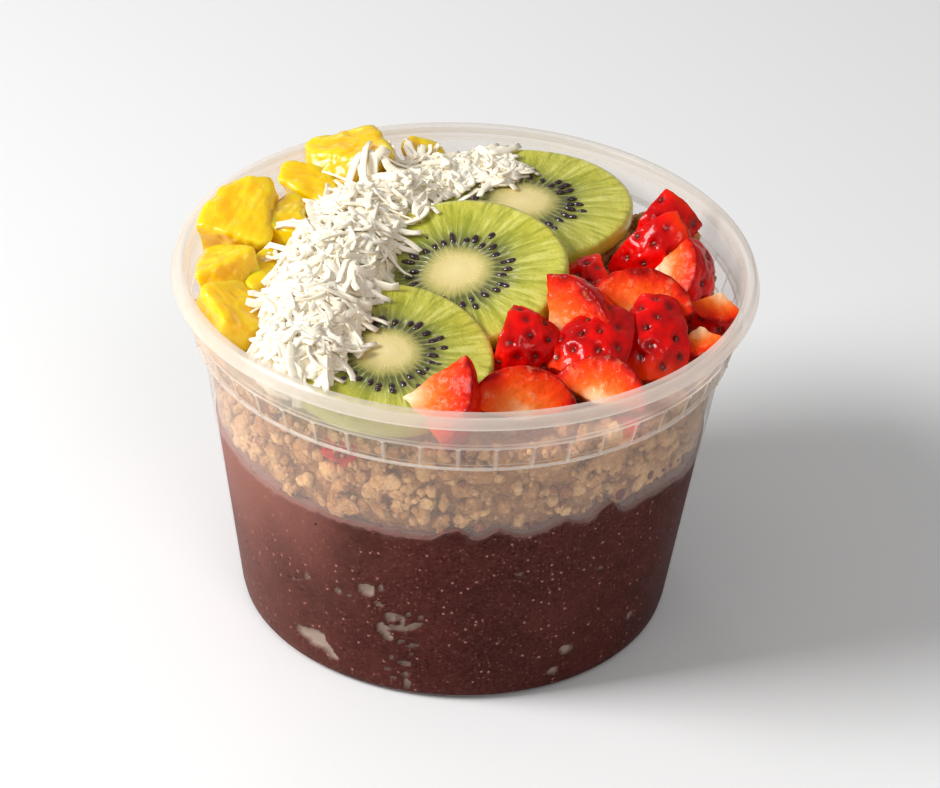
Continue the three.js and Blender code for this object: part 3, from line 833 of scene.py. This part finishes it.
kiwi_seeds = []
slim = 1 - 0.38 * np.maximum(0.0, -SMALL_BALL[:, 0]) ** 1.5
drop = SMALL_BALL * np.stack([np.ones(len(slim)), slim, slim], axis=1)
chance = random.Random(4)
for index, (name, (at, half, lean, towards)) in enumerate(KIWI_SLICES.items()):
    top = [(FLAT_SHARE * k / FACE_RINGS, 0.0) for k in range(FACE_RINGS + 1)]
    side = [(0.985, -0.07), (0.998, -0.25), (1.0, -0.5), (0.998, -0.75), (0.985, -0.93)]
    under = [(FLAT_SHARE * k / BACK_RINGS, -1.0) for k in range(BACK_RINGS, -1, -1)]
    shape = turned(top + side + under, SLICE_STEPS)
    points = np.array([vert.co for vert in shape.verts])
    x, y, z = points.T
    radius, turn = np.hypot(x, y), np.arctan2(y, x)
    on_edge = np.stack([np.cos(turn), np.sin(turn), np.full(len(turn), 5.0 * index)], axis=1)
    outline = 1 + 0.012 * np.sin(2 * turn + index) + 0.009 * np.sin(3 * turn + 2 * index)
    outline += 0.022 * uneven(on_edge, 2.3) + 0.006 * uneven(on_edge, 7.0)
    groove = np.exp(-(((radius - SEED_RING) / 0.12) ** 2))
    lift = 0.12 * np.exp(-((radius / 0.22) ** 2)) - 0.28 * groove + 0.1 * groove * np.sin(RAYS * turn)
    lift += 0.2 * uneven(points, 3.0, (index, 0, 0))
    z = z * KIWI_THICKNESS / MM + np.where(z > -0.05, lift, 0)
    local = np.stack([x * outline * half[0], y * outline * half[1], z], axis=1)
    leaning = Matrix.Rotation(-radians(lean), 4, outward_at(radians(towards)))
    pose = Matrix.Translation(Vector(at) * MM) @ leaning
    shaped(shape, keep_inside(placed(pose, local * MM), 0.2 * MM), disc=points)
    piece(name + "_flesh", shape, kiwi, "kiwi", name)
    for spoke in range(SEED_SPOKES):
        turn = tau * (spoke + chance.gauss(0, 0.17)) / SEED_SPOKES
        for row in range(chance.choice((1, 1, 2, 2))):
            share = chance.uniform(0.39, 0.47) + 0.1 * row
            length, width = chance.uniform(2.0, 2.6), chance.uniform(1.1, 1.4)
            sunk = chance.choice((0.1, 0.2, 0.3, 0.45))
            local = Vector((cos(turn) * share * half[0], sin(turn) * share * half[1], -sunk)) * MM
            seat = pose @ Matrix.Translation(local) @ Matrix.Rotation(turn + chance.gauss(0, 0.12), 4, "Z")
            seat = seat @ Matrix.Rotation(chance.gauss(0, 0.15), 4, "Y")
            kiwi_seeds.append((placed(seat, drop * (length, width, SEED_DEPTH) * MM / 2), SMALL_FACES, 0))

pips = Finish("kiwi_seeds", Roughness=0.22, Coat_Weight=0.6, Coat_Roughness=0.08)
pips.feed(Base_Color=pips.blend(pips.noise(600.0), (34, 16, 26), (62, 34, 40)))
piece("kiwi_seeds", gathered(kiwi_seeds), pips, "kiwi")


# ------ strawberries
# Ripe strawberries quartered lengthways and cut across, so that each piece has some of the glossy
# skin, with a seed in each dimple, and moist cut faces that pale from red towards the core.

BERRY_LENGTH, BERRY_WIDTH = 30.0, 25.0
# Place of the middle (mm); heading and lift say where the middle of the skin faces and spin turns
# the tip round that direction (degrees); angle between the long cuts; shares of the half length
# kept towards crown and tip; size
STRAWBERRY_PIECES = [
    ((39.3, 19.2, 73.5), -72, 39, 128, 75, 0.48, 0.7, 0.74),
    ((36.9, 12.1, 72.0), -96, 33, 121, 72, 0.6, 0.85, 0.82),
    ((44.2, 2.4, 73.2), -20, 17, 43, 88, 0.5, 0.15, 0.84),
    ((36.2, -8.1, 72.8), 69, 41, -174, 130, 0.25, 0.55, 0.92),
    ((25.8, -13.3, 72.5), 14, 59, -146, 90, 0.3, 0.75, 1.12),
    ((13.4, -25.1, 72.0), -99, 43, -100, 105, 0.45, 0.68, 0.72),
    ((26.0, -24.6, 73.0), -107, 49, -14, 95, 0.65, 0.75, 0.84),
    ((37.1, -20.2, 72.0), -89, 39, -5, 88, 0.72, 0.72, 0.82),
    ((49.5, -8.8, 70.3), -99, -23, -8, 105, 0.35, 0.15, 0.66),
    ((46.7, -19.4, 69.3), -82, -20, -173, 100, 0.15, 0.4, 0.6),
    ((28.2, -34.4, 70.2), 66, 45, -179, 150, 0.2, 0.45, 0.8),
    ((11.6, -37.7, 70.2), 93, 64, 179, 150, 0.2, 0.35, 0.88),
    ((-1.5, -43.2, 68.3), -25, 14, -140, 80, 0.2, 0.4, 1.2),
    ((23.8, 5.1, 69.0), -109, 68, 125, 85, 0.5, 0.5, 0.62),
    ((31.0, -38.4, 62.0), 135, 61, 145, 80, 0.3, 0.3, 0.55),
    ((-22.6, -43.6, 58.3), -90, 32, 150, 90, 0.3, 0.4, 0.42),
]
EDGE_SHARPNESS = 44
HALVINGS = 22
BERRY_SEEDS = 80
BERRY_SEED_SIZE = (0.7, 0.4, 0.26)
GOLDEN_ANGLE = 137.508
DIMPLE_DEPTH, DIMPLE_WIDTH = 0.75, 1.1


def berry_radius(along, size):
    """Radius of a whole berry in mm, from its crown at 0 to its tip at 1."""
    profile = np.sin(np.pi * np.minimum(1.0, 0.16 + 0.84 * np.clip(along, 0, 1) ** 0.92)) ** 0.72
    return profile * BERRY_WIDTH * size / 2


def turned_to(at, heading, lift, spin):
    pose = Matrix.Rotation(radians(heading), 4, "Z") @ Matrix.Rotation(-radians(lift), 4, "Y")
    return Matrix.Translation(Vector(at) * MM) @ pose @ Matrix.Rotation(radians(spin), 4, "X")


def soft_meeting(reaches, sharpness):
    """How far a ray goes in a body bounded by several surfaces, with their meeting edges softened."""
    inverse = sum((1.0 / np.maximum(reach, 1e-6)) ** sharpness for reach in reaches)
    return inverse ** (-1.0 / sharpness)


def reach_of_plane(middle, rays, normal, distance):
    """How far each ray from the middle goes before it meets the plane normal . point = distance."""
    speed = rays @ np.array(normal)
    gap = distance - float(np.dot(middle, normal))
    return np.where(speed > 1e-6, gap / np.maximum(speed, 1e-6), 1e3)


berry = Finish("strawberry", Subsurface_Weight=0.08, Subsurface_Radius=(1.0, 0.25, 0.12),
               Subsurface_Scale=1.5 * MM, IOR=1.38, Coat_Roughness=0.04, Specular_IOR_Level=0.12)
skin = berry.attribute("skin")
where_in = berry.attribute("berry", "Vector")
patches = berry.noise(0.16, vector=where_in)
red = berry.blend(berry.step(patches, 0.35, 0.65), (240, 8, 4), (186, 1, 2))
red = berry.blend(berry.attribute("shoulder") * 0.8, red, (250, 72, 6))
# Painted shade: each dimple in the skin is painted dark red.
red = berry.blend(berry.attribute("dimple") * 0.75, red, (104, 0, 2))
fibres = berry.noise(0.55, 4.0, 0.6, stretch=(0.5, 0.5, 2.2), vector=where_in)
cut = berry.ramp(
    berry.attribute("ripeness") + (patches - 0.5) * 0.4 + (fibres - 0.5) * 0.3,
    (0.02, (252, 218, 182)), (0.24, (252, 178, 122)), (0.42, (250, 120, 44)),
    (0.68, (243, 78, 12)), (0.88, (226, 36, 4)), (0.98, (150, 2, 1)),
)
threads = berry.noise(1.1, 3.0, 0.6, stretch=(0.35, 0.35, 2.4), vector=where_in)
cut = berry.tint(cut, threads, 0.54, 0.72, 0.25, (255, 190, 138))
cut = berry.tint(cut, threads, 0.46, 0.32, 0.22, (196, 22, 2))
fine = berry.noise(1.3, vector=where_in)
wrinkles = berry.noise(0.5, 2.0, vector=where_in) * skin * 0.9
relief = (fibres + threads) * (1 - skin) + fine * (0.6 - skin * 0.45) + wrinkles
berry.feed(
    Base_Color=berry.blend(skin, cut, red),
    Roughness=0.45 - skin * 0.15 + (fine - 0.5) * 0.1,
    Coat_Weight=0.1 + skin * 0.28,
    Normal=berry.bump(relief, 0.4 * MM, 0.6),
)


def ray_ball():
    """A ball of radius 1 for a cut piece, with the direction of each of its corners."""
    ball = bmesh.new()
    bmesh.ops.create_icosphere(ball, subdivisions=6, radius=1.0)
    return ball, np.array([vert.co.normalized() for vert in ball.verts])


berry_seeds = []
chance = random.Random(17)
for index, (at, heading, lift, spin, wedge, crown, tip, size) in enumerate(STRAWBERRY_PIECES):
    length, width = BERRY_LENGTH * size, BERRY_WIDTH * size
    low, high = -crown * length / 2, tip * length / 2
    middle = np.array([width / 2 * 0.55, 0.0, (high + low) / 2])
    pose = turned_to(at, heading, lift, spin)
    shape, rays = ray_ball()
    near, far = np.zeros(len(rays)), np.full(len(rays), 2.0 * BERRY_LENGTH)
    for _ in range(HALVINGS):
        reach = (near + far) / 2
        x, y, z = (middle + rays * reach[:, None]).T
        outside = (np.hypot(x, y) > berry_radius(z / length + 0.5, size)) | (np.abs(z) > length / 2)
        near, far = np.where(outside, near, reach), np.where(outside, reach, far)
    to_skin = (near + far) / 2
    half = radians(wedge / 2)
    cuts = (-sin(half), cos(half), 0, 0), (-sin(half), -cos(half), 0, 0), (0, 0, 1, high), (0, 0, -1, -low)
    to_cuts = [reach_of_plane(middle, rays, normal, distance) for *normal, distance in cuts]
    reach = soft_meeting([to_skin, *to_cuts], EDGE_SHARPNESS)
    points = middle + rays * reach[:, None]
    on_skin = np.clip((np.min(to_cuts, axis=0) / to_skin - 0.985) / 0.03, 0, 1)
    x, y, z = points.T
    ripe = np.hypot(x, y) / np.maximum(berry_radius(z / length + 0.5, size), 1e-6)
    wave = uneven(points, 0.3, (index * 9, 0, 0)) + 0.4 * uneven(points, 0.8, (0, index * 9, 0))
    sink = np.zeros(len(points))
    for k in range(BERRY_SEEDS):
        along = (k + chance.uniform(0.0, 1.0)) / BERRY_SEEDS
        turn = radians(GOLDEN_ANGLE * k + 40 * index + chance.gauss(0, 3.5))
        turn = (turn + pi) % tau - pi
        z = (along - 0.5) * length
        radius = float(berry_radius(along, size))
        if abs(turn) > half - 0.7 / max(radius, 1) or not low + 0.8 < z < high - 0.6 or radius < 1.5:
            continue
        seat = np.array([radius * cos(turn), radius * sin(turn), z])
        gap = np.linalg.norm(points - seat, axis=1)
        sink = np.maximum(sink, np.exp(-((gap / DIMPLE_WIDTH) ** 2)))
        slope = float(berry_radius(along + 0.02, size) - berry_radius(along - 0.02, size)) / (0.04 * length)
        outward = Vector((cos(turn), sin(turn), -slope)).normalized()
        across = Vector((-sin(turn), cos(turn), 0))
        down = across.cross(outward)
        deep = Vector(seat) - outward * (DIMPLE_DEPTH - 0.16)
        frame_of_seed = Matrix((down, across, outward)).transposed().to_4x4()
        to_world = pose @ Matrix.Scale(MM, 4) @ Matrix.Translation(deep - Vector(middle)) @ frame_of_seed
        if hypot(*(to_world.translation.xy)) > inner_radius(to_world.translation.z) - 0.4 * MM:
            continue
        berry_seeds.append((placed(to_world, SMALL_BALL * BERRY_SEED_SIZE), SMALL_FACES, chance.random()))
    torn = 0.14 * uneven(points, 0.9, (0, 0, index * 9)) * (1 - on_skin)
    points += rays * (0.38 * wave + torn - DIMPLE_DEPTH * sink * on_skin)[:, None]
    shoulders = [1 - smooth(z / length + 0.5, 0.1, 0.38) for z in points[:, 2]]
    seated = keep_inside(placed(pose, (points - middle) * MM), 0.25 * MM)
    shaped(shape, seated, skin=on_skin, ripeness=ripe, dimple=sink, shoulder=shoulders,
           berry=points + (index * 20.0, 0, 0))
    name = f"strawberry_{index + 1:02d}"
    piece(name + "_flesh", shape, berry, "strawberry", name)

achenes = Finish("strawberry_seeds", Roughness=0.4, Coat_Weight=0.2, Coat_Roughness=0.1)
achenes.feed(Base_Color=achenes.blend(achenes.attribute("tone"), (66, 8, 6), (122, 44, 20)))
piece("strawberry_seeds", gathered(berry_seeds), achenes, "strawberry")


# ------ pineapple
# Tidbits of ripe pineapple: wedges cut from rings, firm and dripping wet, with fine fibres that run
# from the core outwards and a torn, uneven outer face.

TAPER = 0.3
CENTRE = (0, 0, 0)
# Centre (mm); full length, width and height (mm); heading, lift and spin in degrees
PINEAPPLE_PIECES = [
    ((-25, 40, 72.6), (17, 14, 13), 15, 8, 0),
    ((-45, 18, 73), (18, 13, 12), 70, 20, 10),
    ((-31, 33.5, 70.6), (12, 10, 8.5), -20, 15, 20),
    ((-48, -1, 71), (12.5, 10, 9), 110, -10, -10),
    ((-45, -18, 70.3), (14.5, 11.5, 10), 120, 5, 15),
    ((-36, 17, 71.5), (13, 10.5, 9.5), 60, 0, 0),
    ((-10, 50, 72.7), (7.5, 5.5, 4.5), 0, 0, 0),
    ((-40, -1.5, 70.5), (9, 8, 7.5), 40, 10, 0),
]

pine = Finish("pineapple", Subsurface_Weight=0.8, Subsurface_Radius=(1.0, 0.6, 0.1),
              Subsurface_Scale=6.0 * MM, IOR=1.4, Coat_Roughness=0.07)
chunk = pine.attribute("chunk", "Vector")
fibre = pine.noise(0.9, 4.0, 0.6, stretch=(0.18, 1, 1), vector=chunk)
juicy = pine.noise(0.22, vector=chunk)
yellow = pine.ramp(juicy, (0.3, (255, 190, 2)), (0.55, (255, 204, 8)), (0.75, (255, 216, 30)))
yellow = pine.tint(yellow, fibre, 0.5, 0.72, 0.35, (255, 226, 96))
drops = pine.noise(1.6, 2.0, vector=chunk)
pine.feed(
    Base_Color=yellow, Roughness=0.3 + (fibre - 0.5) * 0.2, Coat_Weight=0.5 + (juicy - 0.5) * 0.4,
    Normal=pine.bump(fibre + juicy + drops * 0.3, 0.4 * MM, 0.4),
)

chance = random.Random(9)
for index, (at, full, heading, lift, spin) in enumerate(PINEAPPLE_PIECES):
    pose = turned_to(at, heading, lift, spin)
    half = [side / 2 for side in full]
    shape, rays = ray_ball()
    sides = []
    for axis in range(3):
        for way in (-1, 1):
            normal = random_vector(0.13)
            normal[axis] += way
            normal.x += TAPER / 2 if axis == 1 else 0
            sides.append(reach_of_plane(CENTRE, rays, normal.normalized(), half[axis]))
    for _ in range(3):
        normal = random_vector(1).normalized()
        distance = 0.93 * (normal * Vector(half)).length
        sides.append(reach_of_plane(CENTRE, rays, normal, distance))
    reach = soft_meeting(sides, 11)
    points = rays * reach[:, None]
    strands = uneven(points * (0.12, 0.9, 0.9), 1.0, (index * 5, 0, 0))
    dents = uneven(points, 0.33, (0, index * 5, 0)) + 0.3 * uneven(points, 0.7, (0, 0, index * 5))
    seated = placed(pose, (points + rays * (0.14 * strands + 0.6 * dents)[:, None]) * MM)
    shaped(shape, keep_inside(seated, 0.25 * MM), chunk=points + (0, index * 30.0, 0))
    name = f"pineapple_{index + 1:02d}"
    piece(name + "_flesh", shape, pine, "pineapple", name)


# ------ shredded coconut
# Fresh coconut grated into soft white shreds three to sixteen millimetres long. They lie in a loose
# heap along the middle of the bowl and hang over the pineapple and the kiwi beside it.

# Lumps along the heap: x, y, z and radius in mm
LUMPS = [
    (2, 42, 69.5, 8.5), (-8, 38.5, 69.5, 9.5), (-15, 29, 70, 11), (-21, 17, 71, 12.5),
    (-24.5, 5, 71.5, 12.5), (-27, -6, 71.5, 12.5), (-29, -18, 71, 12), (-31, -30, 69.5, 11),
]
LUMP_FLATNESS = 0.65
HEAP_BACK = 1.05
SHREDS, LONG_SHREDS = 720, 140
SHRED_POINTS, SMOOTHINGS = 6, 4
SHRED_REACH, SHRED_BOTTOM, SHRED_TOP = 54.5 * MM, 66.5 * MM, 80.0 * MM

balls = []
ball, faces = unit_ball(5)
for index, (x, y, z, radius) in enumerate(LUMPS):
    swell = 1 + 0.1 * uneven(ball, 3.0, (index, 0, 0)) + 0.06 * uneven(ball, 8.0)
    local = ball * (swell * (radius - HEAP_BACK))[:, None] * (1, 1, LUMP_FLATNESS)
    local += ball * (0.5 * uneven(local, 0.9) + 0.35 * uneven(local, 1.9))[:, None]
    balls.append((keep_inside((local + (x, y, z)) * MM, 0.6 * MM), faces, 0))
coconut = Finish("coconut", Roughness=0.45, Specular_IOR_Level=0.3)
coconut.feed(
    Base_Color=coconut.blend(coconut.noise(150.0), (255, 248, 232), (255, 243, 216)),
    Normal=coconut.bump(coconut.noise(900.0), 0.1 * MM, 0.5),
)
heap = piece("coconut_core", gathered(balls), coconut, "shredded_coconut", "coconut")
union = heap.modifiers.new("one_heap", "REMESH")
union.mode, union.voxel_size, union.use_smooth_shade = "VOXEL", 0.55 * MM, True

bpy.context.view_layer.update()
depsgraph = bpy.context.evaluated_depsgraph_get()
carriers = [BVHTree.FromObject(made, depsgraph) for made in SCENE.objects
            if made.name.endswith("_flesh") or made.name in ("coconut_core", "granola_core")]


def carried_at(x, y):
    """Height of the topmost thing that a shred can lie on at a place in the tub."""
    top = 60 * MM
    for tree in carriers:
        hit = tree.ray_cast((x, y, 1.5 * SHRED_TOP), (0, 0, -1))[0]
        if hit is not None:
            top = max(top, hit.z)
    return top


chance = random.Random(31)
shreds = bpy.data.curves.new("coconut_shreds", "CURVE")
shreds.dimensions = "3D"
shreds.twist_mode = "Z_UP"
shreds.extrude, shreds.bevel_depth, shreds.bevel_resolution = 0.46 * MM, 0.28 * MM, 1
shreds.use_fill_caps = True
for number in range(SHREDS + LONG_SHREDS):
    long = number >= SHREDS
    x, y, z, radius = chance.choice(LUMPS)
    angle, spread = chance.uniform(0, tau), sqrt(chance.random()) * radius * 0.95
    start = Vector((x + spread * cos(angle), y + spread * sin(angle))) * MM
    heading = chance.uniform(0, tau)
    bend = chance.gauss(0, 0.28)
    length = (chance.uniform(8, 16) if long else min(10, max(3, chance.gauss(6, 2)))) * MM
    step = length / (SHRED_POINTS - 1)
    path = [start]
    for _ in range(SHRED_POINTS - 1):
        path.append(path[-1] + Vector((cos(heading), sin(heading))) * step)
        heading += bend
    middle = path[SHRED_POINTS // 2] - start
    path = [point - middle for point in path]
    if any(point.length > SHRED_REACH for point in path):
        continue
    layer = chance.uniform(-0.35, 0.85) * MM
    ground = [carried_at(point.x, point.y) for point in path]
    heights = list(ground)
    for _ in range(SMOOTHINGS):
        beside = zip(heights[:1] + heights, heights, heights[1:] + heights[-1:], ground)
        heights = [max(under, (before + 2 * here + after) / 4) for before, here, after, under in beside]
    if max(heights) > SHRED_TOP or min(heights) < SHRED_BOTTOM:
        continue
    curl = chance.choice((0, 0, 0, 0, 0.5, 1.2)) * MM
    spline = shreds.splines.new("POLY")
    spline.points.add(SHRED_POINTS - 1)
    spline.use_smooth = True
    girth = chance.uniform(0.8, 1.1) if long else chance.uniform(0.8, 1.5)
    lean = pi / 2 + chance.gauss(0, 0.65)
    share = np.linspace(0, 1, SHRED_POINTS)
    rise = np.array(heights) + layer + curl * share ** 2.5 + 0.25 * MM
    places = keep_inside(np.column_stack([np.array(path), rise]), 0.8 * MM)
    for point, place, along in zip(spline.points, places, share):
        point.co = (*place, 1)
        point.radius = girth * (0.78 + 0.22 * sin(pi * along)) * chance.uniform(0.88, 1.12)
        point.tilt = lean + along * chance.uniform(0.0, 0.5)
maker = linked("shred_curves", shreds)
bpy.context.view_layer.update()
shred_mesh = bpy.data.meshes.new_from_object(maker.evaluated_get(bpy.context.evaluated_depsgraph_get()))
bpy.data.objects.remove(maker)
shred_shape = bmesh.new()
shred_shape.from_mesh(shred_mesh)
bmesh.ops.remove_doubles(shred_shape, verts=shred_shape.verts, dist=1e-6)
bmesh.ops.recalc_face_normals(shred_shape, faces=shred_shape.faces)
piece("coconut_shreds", shred_shape, coconut, "shredded_coconut")
